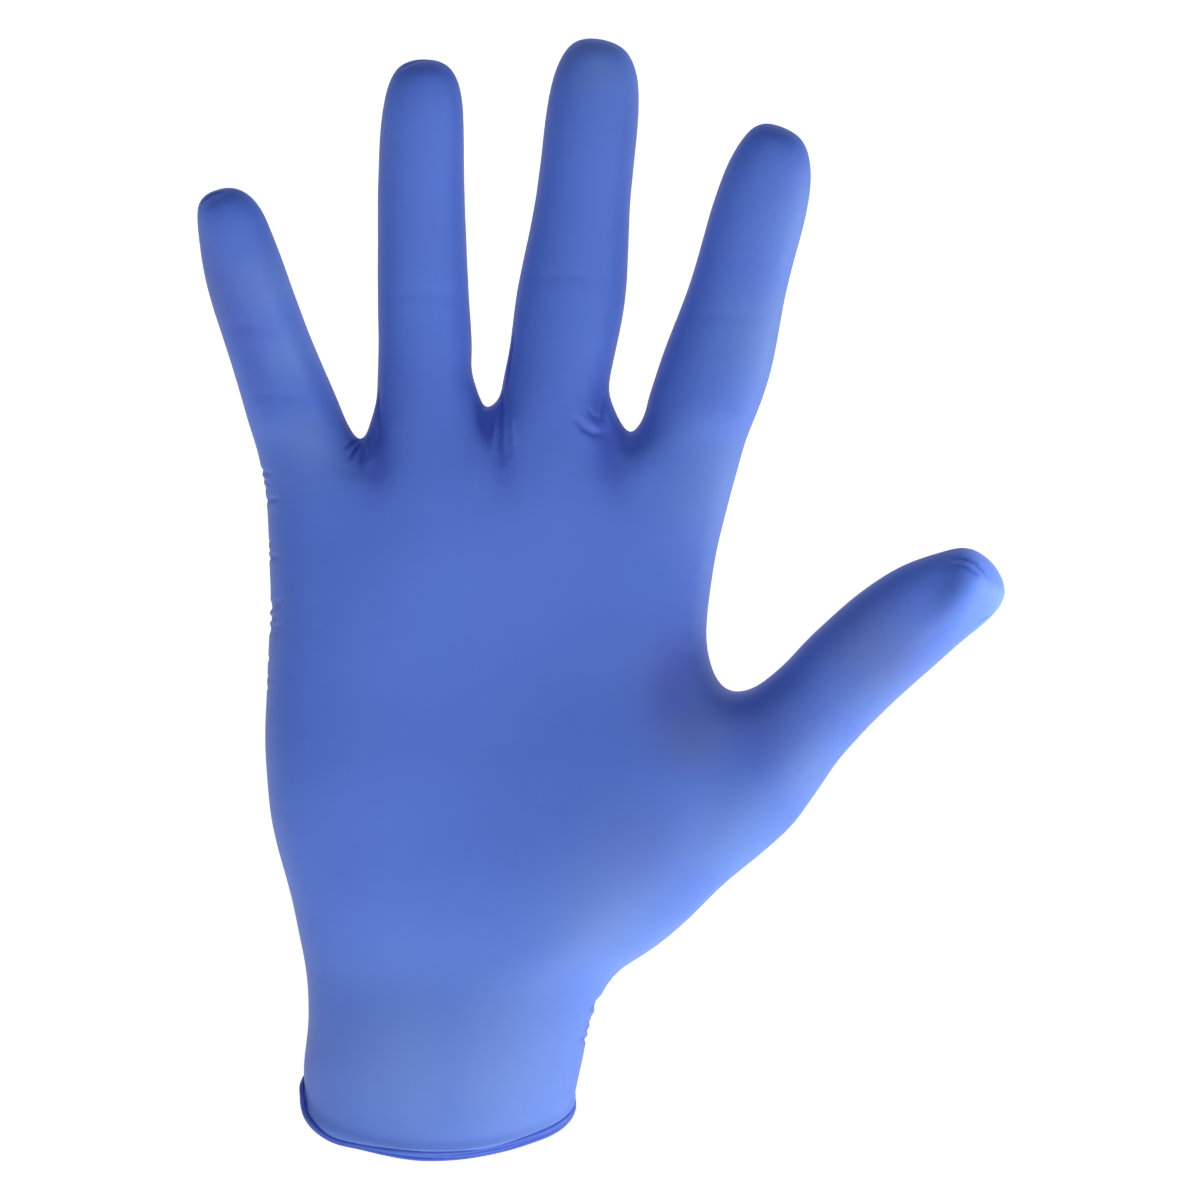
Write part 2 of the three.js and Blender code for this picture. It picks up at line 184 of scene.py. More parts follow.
def strength(name, value, description):
    return FloatProperty(name=name, description=description, default=value, min=0.0)


class GloveSizes(bpy.types.PropertyGroup):
    film: length("Film", 0.22, "Thickness of the glove's wall")
    bead: length("Bead", 1.3, "Diameter of one strand of the rolled rim")
    cuff_length: length("Cuff length", 26, "Mouth to wrist")
    wrist_width: length("Wrist width", 62, "Width of the wrist")
    wrist_depth: length("Wrist depth", 42, "Depth of the wrist, palm to back")
    palm_length: length("Palm length", 114, "Wrist to the roots of the fingers")
    palm_depth: length("Palm depth", 28, "Depth of the hand, palm to back")
    little_length: length("Little length", 59, "Length of the little finger's stall")
    little_width: length("Little width", 21, "Width of the little finger's stall at its root")
    ring_length: length("Ring length", 78.5, "Length of the ring finger's stall")
    ring_width: length("Ring width", 21, "Width of the ring finger's stall at its root")
    middle_length: length("Middle length", 83.5, "Length of the middle finger's stall")
    middle_width: length("Middle width", 23.4, "Width of the middle finger's stall at its root")
    index_length: length("Index length", 70, "Length of the index finger's stall")
    index_width: length("Index width", 22.8, "Width of the index finger's stall at its root")
    thumb_length: length("Thumb length", 67.5, "Length of the thumb's stall")
    thumb_width: length("Thumb width", 23, "Width of the thumb's stall")
    little_ring_web: length("Little to ring web", 4, "Film between the little and ring fingers")
    ring_middle_web: length("Ring to middle web", 7, "Film between the ring and middle fingers")
    middle_index_web: length("Middle to index web", 6.5, "Film between the middle and index fingers")
    web_dip: length("Web dip", 7, "How far a web slopes down to the palm's side and to the back")
    mouth_tilt: FloatProperty(
        name="Mouth tilt", description="How much lower the rim hangs on the palm's side",
        default=math.radians(20), subtype="ANGLE",
    )


class GloveLooks(bpy.types.PropertyGroup):
    film: colour("Film", (0.08, 0.168, 0.625), "The nitrile where it lies smooth")
    # the fold colour is the gathered film's deeper blue, and also painted shade in creases and hollows
    fold_and_shade: colour("Fold", (0.038, 0.07, 0.47), "The nitrile where it is gathered or doubled")
    # the thin colour is the film greyed where it is thin, and also painted shade on the little finger's
    # left flank
    thin: colour("Thin", (0.1, 0.15, 0.42), "The nitrile where it is so thin that it turns greyer")
    # the pale colour is the film paled where it is stretched, and also painted light where the light falls
    # brightest
    pale: colour("Pale", (0.115, 0.215, 0.61), "The nitrile where it is stretched over the hand")
    roughness: FloatProperty(
        name="Roughness", description="Roughness of the nitrile", default=0.56, min=0.0, max=1.0,
        subtype="FACTOR",
    )


class GloveStudio(bpy.types.PropertyGroup):
    floor_drop: length("Floor drop", 700, "How far under the mouth's middle the floor lies")
    backdrop: colour("Backdrop", (0.9, 0.9, 0.9), "The floor and the wall behind")
    glow: strength("Backdrop glow", 0.68, "How strongly the backdrop is lit")
    key: strength("Key light", 1.2, "Watts of the light to the right")
    low: strength("Low light", 0.85, "Watts of the warm light under the cuff")
    top: strength("Top light", 1.55, "Watts of the cool light overhead")
    right_rim: strength("Right rim light", 2.4, "Watts of the light on the thumb's side")
    left_rim: strength("Left rim light", 0.35, "Watts of the light on the little finger's side")
    thumb_spot: strength("Thumb spot", 8.5, "Watts of the spot on the thumb's tip")
    little_spot: strength("Little finger spot", 2.125, "Watts of the spot on the little finger")
    sky: strength("Room light", 0.14, "Strength of the even light")


# Modelling helpers


def object_from(bm, name):
    mesh = bpy.data.meshes.new(name)
    bm.to_mesh(mesh)
    bm.free()
    made = bpy.data.objects.new(name, mesh)
    bpy.context.scene.collection.objects.link(made)
    return made


def shade_smooth(mesh):
    mesh.polygons.foreach_set("use_smooth", [True] * len(mesh.polygons))
    mesh.update()


def loop_edges(bm, loop):
    return [bm.edges.get((a, b)) for a, b in zip(loop, loop[1:] + loop[:1])]


def loop_at(bm, places):
    """A new closed loop of points at their places."""
    loop = bmesh.ops.create_circle(bm, segments=len(places), radius=MM)["verts"]
    for vert, place in zip(loop, places):
        vert.co = place
    return list(loop)


def extrude_loop(bm, loop, places):
    """Extrudes a closed loop of points and moves the new points to their places."""
    made = bmesh.ops.extrude_edge_only(bm, edges=loop_edges(bm, loop))["geom"]
    fresh = {v for v in made if isinstance(v, bmesh.types.BMVert)}
    ring = []
    for old, place in zip(loop, places):
        new = next(e.other_vert(old) for e in old.link_edges if e.other_vert(old) in fresh)
        new.co = place
        ring.append(new)
    return ring


def above_mouth(place, sizes):
    """How high a place lies over the tilted plane of the cuff's mouth."""
    return place.z - place.y * math.tan(sizes.mouth_tilt)


def ease(x):
    """Runs from 0 to 1 as x does, and starts and ends gently."""
    x = min(max(x, 0.0), 1.0)
    return x * x * (3 - 2 * x)


# The hand's sections


def lay_out(sizes):
    """Where the columns of a section lie, from -1 at the little finger's edge to 1 at the thumb's."""
    webs = [getattr(sizes, name) for name, _ in WEBS]
    widths = [getattr(sizes, name + "_width") for name, *_ in FINGERS]
    spans = []
    for i, width in enumerate(widths):
        before = webs[i - 1] / 2 if i else 0
        after = webs[i] / 2 if i < len(webs) else 0
        spans.append(before + width + after)
    across = sum(spans)
    starts = [sum(spans[:i]) for i in range(len(spans))]
    middles = [2 * (start + span / 2) / across - 1 for start, span in zip(starts, spans)]
    between = [2 * start / across - 1 for start in starts[1:]]
    columns = [-1 + (middles[0] + 1) * EDGE_COLUMN]
    for i, middle in enumerate(middles):
        columns += [middle, between[i]] if i < len(between) else [middle]
    columns.append(1 + (middles[-1] - 1) * EDGE_COLUMN)
    return across, columns, middles, between


def section_places(row, columns):
    """A section's points, from the thumb's side over the back and round over the palm."""

    def at(share, depth):
        x = row["left"] + (row["right"] - row["left"]) * (share + 1) / 2
        return Vector((x, depth, row["height"] + depth * math.tan(row["tilt"])))

    def full(share, power):
        return (1 - abs(share) ** power) ** (1 / power)

    # every second column is a finger's middle, which stands out of the dips beside it
    def back_at(i, share):
        over = 0.5 if i % 2 else -0.5
        return at(share, full(share, row["full"]) * (row["back"] + row["knuckles"] * over))

    def front_at(i, share):
        over = 0.5 if i % 2 else -0.5
        side = row["heel"] if share < 0 else row["ball"]
        depth = row["hollow"] + (side - row["hollow"]) * ease(abs(share) / HOLLOW_REACH)
        power = row["full"] if share < 0 else row["brim"]
        return at(share, -full(share, power) * (depth + row["pads"] * over))

    backs = [back_at(i, share) for i, share in enumerate(columns)]
    fronts = [front_at(i, share) for i, share in enumerate(columns)]
    return [at(1, 0), *reversed(backs), at(-1, 0), *fronts]


def hand_rows(sizes, across):
    """The sections of the cuff and the hand in metres, from the mouth up."""
    rows = []
    for values in CUFF_SECTIONS:
        row = dict(zip(CUFF_COLUMNS, values))
        front = row["front"] * sizes.wrist_depth
        rows.append({
            "height": row["up"] * sizes.cuff_length,
            "left": row["left"] * sizes.wrist_width,
            "right": row["right"] * sizes.wrist_width,
            "heel": front,
            "hollow": front,
            "ball": front,
            "back": row["back"] * sizes.wrist_depth,
            "full": row["full"],
            "brim": row["full"],
            "pads": 0,
            "knuckles": 0,
            "tilt": row["tilt"] * sizes.mouth_tilt,
        })
    for values in HAND_SECTIONS:
        row = dict(zip(HAND_COLUMNS, values))
        for name in ("heel", "hollow", "ball", "back", "pads", "knuckles"):
            row[name] *= sizes.palm_depth
        for name in ("left", "right"):
            row[name] *= across
        row["height"] = sizes.cuff_length + row["up"] * sizes.palm_length
        row["tilt"] = 0
        rows.append(row)
    return rows


def add_stall(bm, loop, root, sections, reach, width, lean, curl, turn=0.0):
    """A finger or the thumb: rings round a gently bent axis, and a lid on the last.

    lean and curl are in degrees, and turn is the angle at which the loop's first point lies.
    """
    lean = math.radians(lean)
    straight = Vector((math.sin(lean), 0, math.cos(lean)))
    side = Vector((math.cos(lean), 0, -math.sin(lean)))
    # subdivision draws a ring in by this share, so the cage is wider by as much
    inset = (2 + math.cos(math.tau / len(loop))) / 3
    ring = loop
    for along, wide, deep, bow, slant in sections:
        bend = math.tan(math.radians(curl)) * along
        axis = Vector((straight.x, -2 * bend, straight.z)).normalized()
        back = axis.cross(side)
        centre = root + straight * along * reach + side * bow * width
        centre.y -= bend * along * reach
        places = []
        for i in range(len(loop)):
            angle = turn + math.tau * i / len(loop)
            over = side * (math.cos(angle) * wide * width / 2 / inset)
            out = back * (math.sin(angle) * deep * width / 2 / inset)
            places.append(centre + over + out - axis * (math.cos(angle) * slant * width))
        ring = extrude_loop(bm, ring, places)
    bmesh.ops.edgeloop_fill(bm, edges=loop_edges(bm, ring))


def glove_cage(sizes):
    """The coarse net of four-sided faces that subdivision rounds into the glove's skin."""
    across, columns, middles, between = lay_out(sizes)
    rows = hand_rows(sizes, across)
    bm = bmesh.new()
    rings = [loop_at(bm, section_places(rows[0], columns))]
    points = len(rings[0])
    for row in rows[1:]:
        rings.append(extrude_loop(bm, rings[-1], section_places(row, columns)))

    # The thumb leaves through the faces on both sides of its column.
    low, high = len(CUFF_SECTIONS) + THUMB_FIRST, len(CUFF_SECTIONS) + THUMB_LAST
    hole = rings[low : high + 1]
    gone = []
    for lower, upper in zip(hole, hole[1:]):
        for a in (0, points - 1):
            corners = {lower[a], lower[(a + 1) % points], upper[a], upper[(a + 1) % points]}
            gone.append(next(f for f in lower[a].link_faces if set(f.verts) == corners))
    bmesh.ops.delete(bm, geom=gone, context="FACES")
    thumb = [hole[-1][0], *(r[-1] for r in reversed(hole)), hole[0][0], *(r[1] for r in hole)]

    # Each web is two edges over the gap between the palm's side and the back.
    top, line = rings[-1], rows[-1]
    half = points // 2
    webs = []
    for i, (_, rise) in enumerate(WEBS):
        front, back = top[half + 3 + 2 * i], top[half - 3 - 2 * i]
        for vert in (front, back):
            vert.co.z += rise * MM - sizes.web_dip
        x = line["left"] + (line["right"] - line["left"]) * (between[i] + 1) / 2
        middle = bm.verts.new((x, 0, line["height"] + rise * MM + sizes.web_dip / 2))
        bm.edges.new((front, middle))
        bm.edges.new((middle, back))
        webs.append(middle)
    for i, (name, rise, lean, curl, sections) in enumerate(FINGERS):
        back, front = half - 1 - 2 * i, half + 1 + 2 * i
        outer = webs[i] if i < len(webs) else top[0]
        inner = webs[i - 1] if i else top[half]
        loop = [outer, top[back - 2], top[back - 1], top[back], inner, *top[front : front + 3]]
        x = line["left"] + (line["right"] - line["left"]) * (middles[i] + 1) / 2
        root = Vector((x, FINGERS_BACK, line["height"] + rise * MM))
        reach, width = getattr(sizes, name + "_length"), getattr(sizes, name + "_width")
        add_stall(bm, loop, root, sections, reach, width, lean, curl)
    up = sizes.cuff_length + THUMB_UP * sizes.palm_length
    root = Vector((THUMB_OUT * across, -THUMB_FORWARD * sizes.palm_depth, up))
    reach, width = sizes.thumb_length, sizes.thumb_width
    add_stall(bm, thumb, root, THUMB_SECTIONS, reach, width, THUMB_LEAN, THUMB_CURL, math.pi)
    bmesh.ops.recalc_face_normals(bm, faces=bm.faces[:])
    return bm


def subdivided(bm, name, levels):
    """The cage's smooth surface as a new bmesh."""
    cage = object_from(bm, name)
    rounding = cage.modifiers.new("Rounding", "SUBSURF")
    rounding.levels = rounding.render_levels = levels
    graph = bpy.context.evaluated_depsgraph_get()
    mesh = bpy.data.meshes.new_from_object(cage.evaluated_get(graph))
    smooth = bmesh.new()
    smooth.from_mesh(mesh)
    bpy.data.meshes.remove(mesh)
    bpy.data.objects.remove(cage)
    return smooth


# Creases

# Each crease: the side it is seen from, its half width and depth in mm, and the points it runs
# through. A negative depth stands out as a ridge. A positive depth also deepens the film's colour,
# partly as gathered film and partly as painted shade. The points are x and z in mm, on the palm as
# the camera sees them and on the back straight from behind.
CREASES = (
    # the thumb's ridge and tip, and the hollows beside its web
    ("palm", 5.0, -0.9, ((112.0, 106.0), (101.0, 96.5), (90.0, 85.5), (82.0, 77.0))),
    ("palm", 6.0, 0.7, ((51.5, 98.0), (48.5, 89.0), (50.0, 80.0))),
    ("palm", 6.5, 0.4, ((61.0, 73.0), (68.0, 76.0), (75.0, 82.0))),
    ("palm", 3.4, -2.0, ((109.5, 114.0), (110.2, 108.5), (105.5, 101.0))),
    # the little finger's flanks
    ("palm", 4.0, 0.5, ((-49.0, 180.0), (-42.0, 162.0), (-36.0, 146.0))),
    ("palm", 3.5, -0.5, ((-39.0, 176.0), (-32.0, 160.0), (-25.0, 143.0))),
    # the fan between little and ring finger
    ("palm", 0.5, 0.45, ((-16.3, 138.9), (-18.0, 138.3), (-19.8, 137.4))),
    ("palm", 0.36, 0.45, ((-15.9, 139.0), (-17.3, 137.2), (-19.0, 135.1))),
    ("palm", 0.35, -0.3, ((-16.0, 138.8), (-17.5, 138.0), (-19.0, 136.5))),
    ("palm", 0.35, -0.3, ((-15.7, 138.6), (-16.8, 136.8), (-17.8, 134.6))),
    ("palm", 0.7, 0.35, ((-15.8, 138.0), (-16.5, 135.6), (-16.5, 133.2))),
    ("palm", 0.35, 0.25, ((-15.3, 138.8), (-15.1, 137.0), (-15.3, 135.0))),
    ("palm", 0.8, 0.5, ((-12.4, 148.6), (-12.9, 145.6), (-13.0, 142.2), (-13.4, 139.4))),
    ("palm", 3.0, 0.8, ((-13.0, 142.5), (-12.8, 137.0), (-13.6, 129.0))),
    # the folds between ring and middle finger
    ("palm", 1.3, 0.45, ((7.6, 146.2), (8.6, 143.0), (9.6, 140.2), (10.3, 138.0))),
    ("palm", 0.45, -0.5, ((12.6, 146.8), (11.8, 143.4), (11.2, 140.6), (10.9, 136.8))),
    ("palm", 0.8, 0.6, ((13.0, 147.6), (12.3, 143.2), (12.1, 138.6), (12.6, 134.8))),
    ("palm", 0.4, -0.3, ((13.5, 149.4), (14.4, 146.0), (15.1, 142.8), (15.5, 138.5))),
    ("palm", 0.6, 0.3, ((14.0, 144.0), (14.0, 140.0), (14.4, 136.0))),
    ("palm", 0.7, 0.5, ((15.6, 161.0), (14.6, 155.0), (14.2, 150.4))),
    ("palm", 0.35, -0.22, ((8.4, 145.4), (9.4, 144.8), (10.4, 145.4))),
    ("palm", 2.8, 0.7, ((11.2, 143.5), (12.3, 138.0), (13.4, 129.0))),
    # the dimple and the hollow between middle and index finger
    ("palm", 0.7, 0.42, ((28.2, 143.6), (30.0, 141.4), (32.1, 140.3), (34.5, 140.8))),
    ("palm", 0.5, 0.3, ((31.0, 145.4), (32.5, 143.8), (34.3, 143.8))),
    ("palm", 0.8, -0.28, ((31.2, 142.8), (32.4, 142.2), (33.6, 141.4))),
    ("palm", 0.35, -0.1, ((29.2, 144.4), (30.4, 143.6), (31.5, 142.9))),
    ("palm", 0.45, 0.5, ((34.5, 148.4), (34.4, 146.0), (34.2, 143.6))),
    ("palm", 0.35, -0.3, ((35.4, 147.4), (35.0, 144.4), (35.7, 142.0))),
    ("palm", 3.0, -0.5, ((40.5, 141.0), (42.0, 136.0), (44.0, 131.0))),
    ("palm", 3.0, 0.8, ((34.6, 142.5), (34.8, 137.0), (37.0, 128.0))),
    ("palm", 2.4, 0.5, ((33.6, 153.0), (33.2, 146.0), (33.6, 141.0))),
    # the thumb's tip and nail
    ("palm", 0.45, 0.46, ((106.6, 114.0), (109.0, 113.7), (111.4, 112.6), (113.8, 110.2))),
    ("palm", 0.35, -0.32, ((106.8, 113.2), (109.0, 112.9), (111.2, 111.8), (113.2, 109.6))),
    ("palm", 0.35, 0.34, ((107.4, 112.4), (109.6, 111.8), (111.8, 110.4))),
    ("palm", 0.5, 0.25, ((114.6, 102.4), (113.4, 101.4), (111.8, 100.6))),
    # the little finger's tip
    ("palm", 0.4, 0.32, ((-49.0, 188.8), (-47.2, 190.2), (-45.0, 190.6))),
    ("palm", 0.4, -0.2, ((-49.2, 187.6), (-47.2, 189.2), (-44.8, 189.6))),
    # the ring finger's tip and a thin fold down its middle
    ("palm", 0.6, 0.25, ((-8.0, 216.3), (-3.5, 218.4), (1.5, 217.4))),
    ("palm", 0.35, -0.06, ((-0.9, 187.0), (-0.6, 168.0))),
    # joints of the fingers
    ("palm", 1.1, 0.1, ((-45.5, 162.3), (-40.0, 162.9), (-33.0, 161.0))),
    ("palm", 1.1, 0.08, ((-41.5, 148.0), (-35.0, 148.9), (-26.5, 146.8))),
    ("palm", 1.2, 0.07, ((-12.5, 168.5), (-4.0, 169.4), (4.5, 168.4))),
    ("palm", 1.2, 0.07, ((17.5, 172.6), (26.5, 173.3), (36.0, 172.0))),
    ("palm", 1.2, 0.07, ((48.5, 163.4), (58.0, 165.3), (67.5, 163.6))),
    # the back of the hand
    ("back", 0.5, 0.5, ((-16.5, 140.0), (-18.5, 136.5), (-20.5, 133.5))),
    ("back", 0.5, 0.5, ((-16.2, 139.5), (-15.4, 135.5), (-15.0, 132.0))),
    ("back", 0.7, 0.7, ((10.2, 145.0), (10.8, 140.0), (12.2, 135.0))),
    ("back", 0.5, -0.4, ((12.2, 146.0), (12.6, 141.0), (14.2, 135.5))),
    ("back", 0.6, 0.5, ((7.6, 145.0), (8.0, 140.5), (7.2, 136.0))),
    ("back", 0.7, 0.6, ((39.6, 141.5), (38.4, 137.0), (37.0, 133.0))),
    ("back", 0.5, -0.35, ((38.2, 142.0), (36.2, 138.2), (34.4, 134.4))),
    ("back", 1.0, 0.2, ((-46.0, 166.0), (-39.5, 168.0), (-32.5, 166.0))),
    ("back", 1.0, 0.2, ((-12.0, 178.0), (-4.0, 179.6), (4.0, 178.0))),
    ("back", 1.0, 0.2, ((19.0, 182.0), (28.0, 183.6), (37.0, 182.0))),
    ("back", 1.0, 0.2, ((52.0, 172.0), (61.0, 174.6), (69.5, 172.0))),
    ("back", 1.0, 0.2, ((88.0, 96.0), (92.0, 89.0), (97.0, 85.0))),
)
# Where the film's outline gives way to the hand inside: the middle and the reach of each nudge and
# how far it moves the film, all x and z in mm.
NUDGES = (
    ((61, 87), 9, (-0.6, -1.6)),
    ((56, 96), 10, (-0.9, 0)),
    ((72, 92.5), 6, (0.3, -0.4)),
    ((37, 27), 8, (-0.6, 0.7)),
    ((59, 46), 10, (-0.6, 0.7)),
    ((74, 58), 6, (0.3, -0.3)),
    ((83, 72), 8, (-0.2, 0.2)),
    ((118, 108), 10, (-0.7, 0)),
    ((107, 116.5), 11, (0.1, -1.5)),
    ((110, 98), 9, (-0.3, 0.4)),
    ((-45, 192), 9, (0, -1.2)),
    ((-51, 182), 12, (0.8, 0)),
    ((-3, 219), 9, (0, -0.8)),
    ((74, 205), 9, (-0.5, -0.7)),
    ((36, 223), 8, (-0.2, -0.4)),
    ((39.5, 141.5), 5, (0.2, -1.1)),
    ((35, 148.5), 6, (-0.8, 0)),
    ((42.5, 144.5), 4, (0.5, -0.1)),
    ((12.5, 147.5), 4.5, (0.9, -0.4)),
    ((6.5, 153.5), 5, (-0.6, 0)),
    ((-13.5, 146), 6, (0.8, 0)),
    ((-16, 140), 4, (0.6, -1.0)),
    ((-36, 105), 9, (0.3, 0)),
    ((-35.5, 58), 10, (-0.4, 0)),
    ((-31, 42), 8, (0.2, 0)),
    ((-28, 16), 8, (0.3, 0)),
    ((30, 9), 5, (0.3, 0)),
    ((32, 20), 6, (-0.3, 0)),
    ((-29, 0), 6, (0.8, 0)),
    ((-23, -8), 7, (-0.2, -1.8)),
    ((-14, -10), 5, (0, -0.3)),
    ((6, -12), 8, (0, -0.3)),
    ((29, 2), 5, (0, -0.8)),
    ((20, -8), 5, (0, 0.3)),
)
# Bundles of fine creases across the hand's edge: the finger on that side, the middle's height, the
# spread, how many, their half length, half width and depth. All but the number are in mm.
BUNDLES = (
    ("little", 130.0, 4.0, 4, 4.5, 0.5, 0.3),
    ("little", 116.0, 2.5, 3, 5.0, 0.45, 0.3),
    ("little", 102.5, 4.0, 7, 6.0, 0.45, 0.42),
    ("little", 90.0, 5.0, 3, 6.0, 0.6, 0.22),
    ("thumb", 18.0, 5.5, 7, 7.0, 0.6, 0.4),
)


BROAD = 2 * MM  # a crease with a greater half width is a soft hollow or ridge
CREASE_REACH = 3.2  # how many half widths from its middle a crease still moves the film
SPLIT_REACHES = (1.9 * MM, 1.1 * MM)  # how near a fine crease each round splits the faces
SWELL = 0.08 * MM  # how far the film stands off the hand's shape where it lies smooth
# a crease's deeper colour is partly gathered film and partly painted shade
FULL_GATHER_AND_SHADE = 0.9 * MM  # the depth of crease at which the film's colour is at its deepest
LIP, LIP_OFF = 0.15, 1.9  # the rise of the film beside a fine crease, and how many half widths off


def onto_skin(tree, side, u, v):
    """The place on the skin of a crease's point, seen from the crease's side, or None."""
    if side == "palm":
        start = VIEW_TARGET - view_direction() * VIEW_DISTANCE
        way = Vector((u, 0, v)) * MM - start
    elif side == "back":
        start, way = Vector((u * MM, 1, v * MM)), Vector((0, -1, 0))
    elif side == "little":
        start, way = Vector((-1, u * MM, v * MM)), Vector((1, 0, 0))
    else:
        start, way = Vector((1, u * MM, v * MM)), Vector((-1, 0, 0))
    return tree.ray_cast(start, way.normalized())[0]


def crease_lines(tree):
    """Each crease on the skin: its points, its half width and its depth, in metres."""
    draw = random.Random(4)
    lines = []

    def add(side, width, depth, points):
        found = []
        steps = max(4, 3 * len(points))
        for k in range(steps + 1):
            t = k / steps * (len(points) - 1)
            i = min(int(t), len(points) - 2)
            (u0, v0), (u1, v1) = points[i], points[i + 1]
            place = onto_skin(tree, side, u0 + (u1 - u0) * (t - i), v0 + (v1 - v0) * (t - i))
            if place is not None:
                found.append(place)
        if len(found) > 1:
            lines.append((np.array(found), width * MM, depth * MM))

    for crease in CREASES:
        add(*crease)
    for side, z, spread, number, reach, width, depth in BUNDLES:
        for k in range(number):
            height = z + spread * (2 * (k + 0.5) / number - 1) + draw.uniform(-0.4, 0.4)
            middle = draw.uniform(-3, 1)
            half = reach * draw.uniform(0.6, 1.2)
            slope = draw.uniform(-0.18, 0.18)
            points = [
                (middle - half, height - slope * half),
                (middle, height + draw.uniform(-0.5, 0.5)),
                (middle + half, height + slope * half),
            ]
            add(side, width * draw.uniform(0.7, 1.3), depth * draw.uniform(0.6, 1.2), points)
    return lines


def along_line(places, line):
    """Each place's distance to a line of points, and how far along the line it is, from 0 to 1."""
    best = np.full(len(places), 1e9)
    share = np.zeros(len(places))
    steps = len(line) - 1
    for i in range(steps):
        a, b = line[i], line[i + 1]
        ab = b - a
        t = np.clip((places - a) @ ab / max(ab @ ab, 1e-12), 0, 1)
        gap = np.linalg.norm(places - a - t[:, None] * ab, axis=1)
        near = gap < best
        best[near] = gap[near]
        share[near] = (i + t[near]) / steps
    return best, share


def nudge(places):
    """Moves the places by each nudge, less and less away from its middle."""
    moved = places.copy()
    for (x, z), reach, (right, up) in NUDGES:
        gap = np.hypot(places[:, 0] - x * MM, places[:, 2] - z * MM) / (reach * MM)
        share = np.exp(-1.5 * gap**2)
        moved[:, 0] += share * right * MM
        moved[:, 2] += share * up * MM
    return moved


def refine_near(bm, lines, reach):
    """Splits the faces that lie near a fine crease."""
    middles = np.array([f.calc_center_median() for f in bm.faces])
    close = np.zeros(len(middles), bool)
    for line, width, _ in lines:
        if width > BROAD:
            continue
        low, high = line.min(0) - reach, line.max(0) + reach
        near = np.where(((middles > low) & (middles < high)).all(1))[0]
        if len(near):
            close[near] |= along_line(middles[near], line)[0] < reach
    bm.faces.ensure_lookup_table()
    edges = {e for i in np.where(close)[0] for e in bm.faces[int(i)].edges}
    made = bmesh.ops.subdivide_edges(bm, edges=list(edges), cuts=1, use_grid_fill=True)["geom_inner"]
    fresh = [g for g in made if isinstance(g, bmesh.types.BMVert) and not g.is_boundary]
    bmesh.ops.smooth_vert(bm, verts=fresh, factor=0.5, use_axis_x=True, use_axis_y=True, use_axis_z=True)


def press_creases(bm, lines):
    """Presses the creases into the skin and returns how far the film's colour deepens at each point: partly
    gathered film, partly painted shade.
    """
    bm.normal_update()
    places = np.array([v.co for v in bm.verts])
    normals = np.array([v.normal for v in bm.verts])
    lift = np.full(len(places), SWELL)
    gathered = np.zeros(len(places))
    for line, width, depth in lines:
        reach = CREASE_REACH * width
        low, high = line.min(0) - reach, line.max(0) + reach
        near = np.where(((places > low) & (places < high)).all(1))[0]
        if not len(near):
            continue
        gap, share = along_line(places[near], line)
        # a crease fades out at its ends, and film piles up beside a fine one
        taper = np.sin(np.pi * np.clip(share * 0.86 + 0.07, 0, 1)) ** 0.7
        valley = np.exp(-((gap / width) ** 2))
        lips = LIP * np.exp(-(((gap - LIP_OFF * width) / width) ** 2)) if width < BROAD else 0
        lift[near] -= depth * taper * (valley - lips)
        # the colour deepens in each crease: in a fine one partly gathered film and partly painted shade, in
        # a broad hollow painted shade
        if depth > 0:
            deepest = min(1.0, depth / FULL_GATHER_AND_SHADE) * (0.6 if width > BROAD else 1)
            gathered[near] = np.maximum(gathered[near], deepest * taper * valley)
    # slow waves and faster ripples, in mm, keep the film from being quite smooth
    ripple = np.array([
        noise.noise(Vector(p) * 55) * 0.16 + noise.noise(Vector(p) * 150 + Vector((3, 1, 7))) * 0.05
        for p in places
    ])
    lift += ripple * MM
    moved = places + normals * lift[:, None]
    for vert, place in zip(bm.verts, moved):
        vert.co = place
    return gathered


def shape(bm):
    """Moves a mesh by the nudges."""
    moved = nudge(np.array([v.co for v in bm.verts]))
    for vert, place in zip(bm.verts, moved):
        vert.co = place


def flare(bm, sizes):
    """Turns the cuff's last millimetres outwards, where the film rolls into its bead."""
    outwards, reach, top = 0.5 * MM, 1.3 * MM, 6 * MM
    for vert in bm.verts:
        above = above_mouth(vert.co, sizes)
        if above < top:
            share = math.exp(-((above / reach) ** 2))
            vert.co += Vector((vert.normal.x, vert.normal.y, 0)) * outwards * share


def line_with(bm, sizes, lines):
    """Joins a coarser inner wall to the outer one at the rim.

    Away from the rim it lies deeper than the film is thick, so that it never shows through a crease.
    """
    inner = subdivided(glove_cage(sizes), "lining", COARSE)
    shape(inner)
    press_creases(inner, [line for line in lines if line[1] > BROAD])
    inner.normal_update()
    for vert in inner.verts:
        deeper = 0.9 * MM * ease(above_mouth(vert.co, sizes) / (20 * MM))
        vert.co -= vert.normal * (sizes.film + deeper)
    bmesh.ops.reverse_faces(inner, faces=inner.faces[:])
    mesh = bpy.data.meshes.new("lining")
    inner.to_mesh(mesh)
    inner.free()
    bm.from_mesh(mesh)
    bpy.data.meshes.remove(mesh)
    bmesh.ops.bridge_loops(bm, edges=[e for e in bm.edges if e.is_boundary])


# Materials


class Value:
    """A socket, so that shader maths reads as an expression."""

    def __init__(self, nodes, socket):
        self.nodes = nodes
        self.socket = socket

    def __add__(self, other):
        return self.nodes.maths("ADD", self, other)

    def __sub__(self, other):
        return self.nodes.maths("SUBTRACT", self, other)

    def __rsub__(self, other):
        return self.nodes.maths("SUBTRACT", other, self)

    def __mul__(self, other):
        return self.nodes.maths("MULTIPLY", self, other)

    __radd__ = __add__
    __rmul__ = __mul__


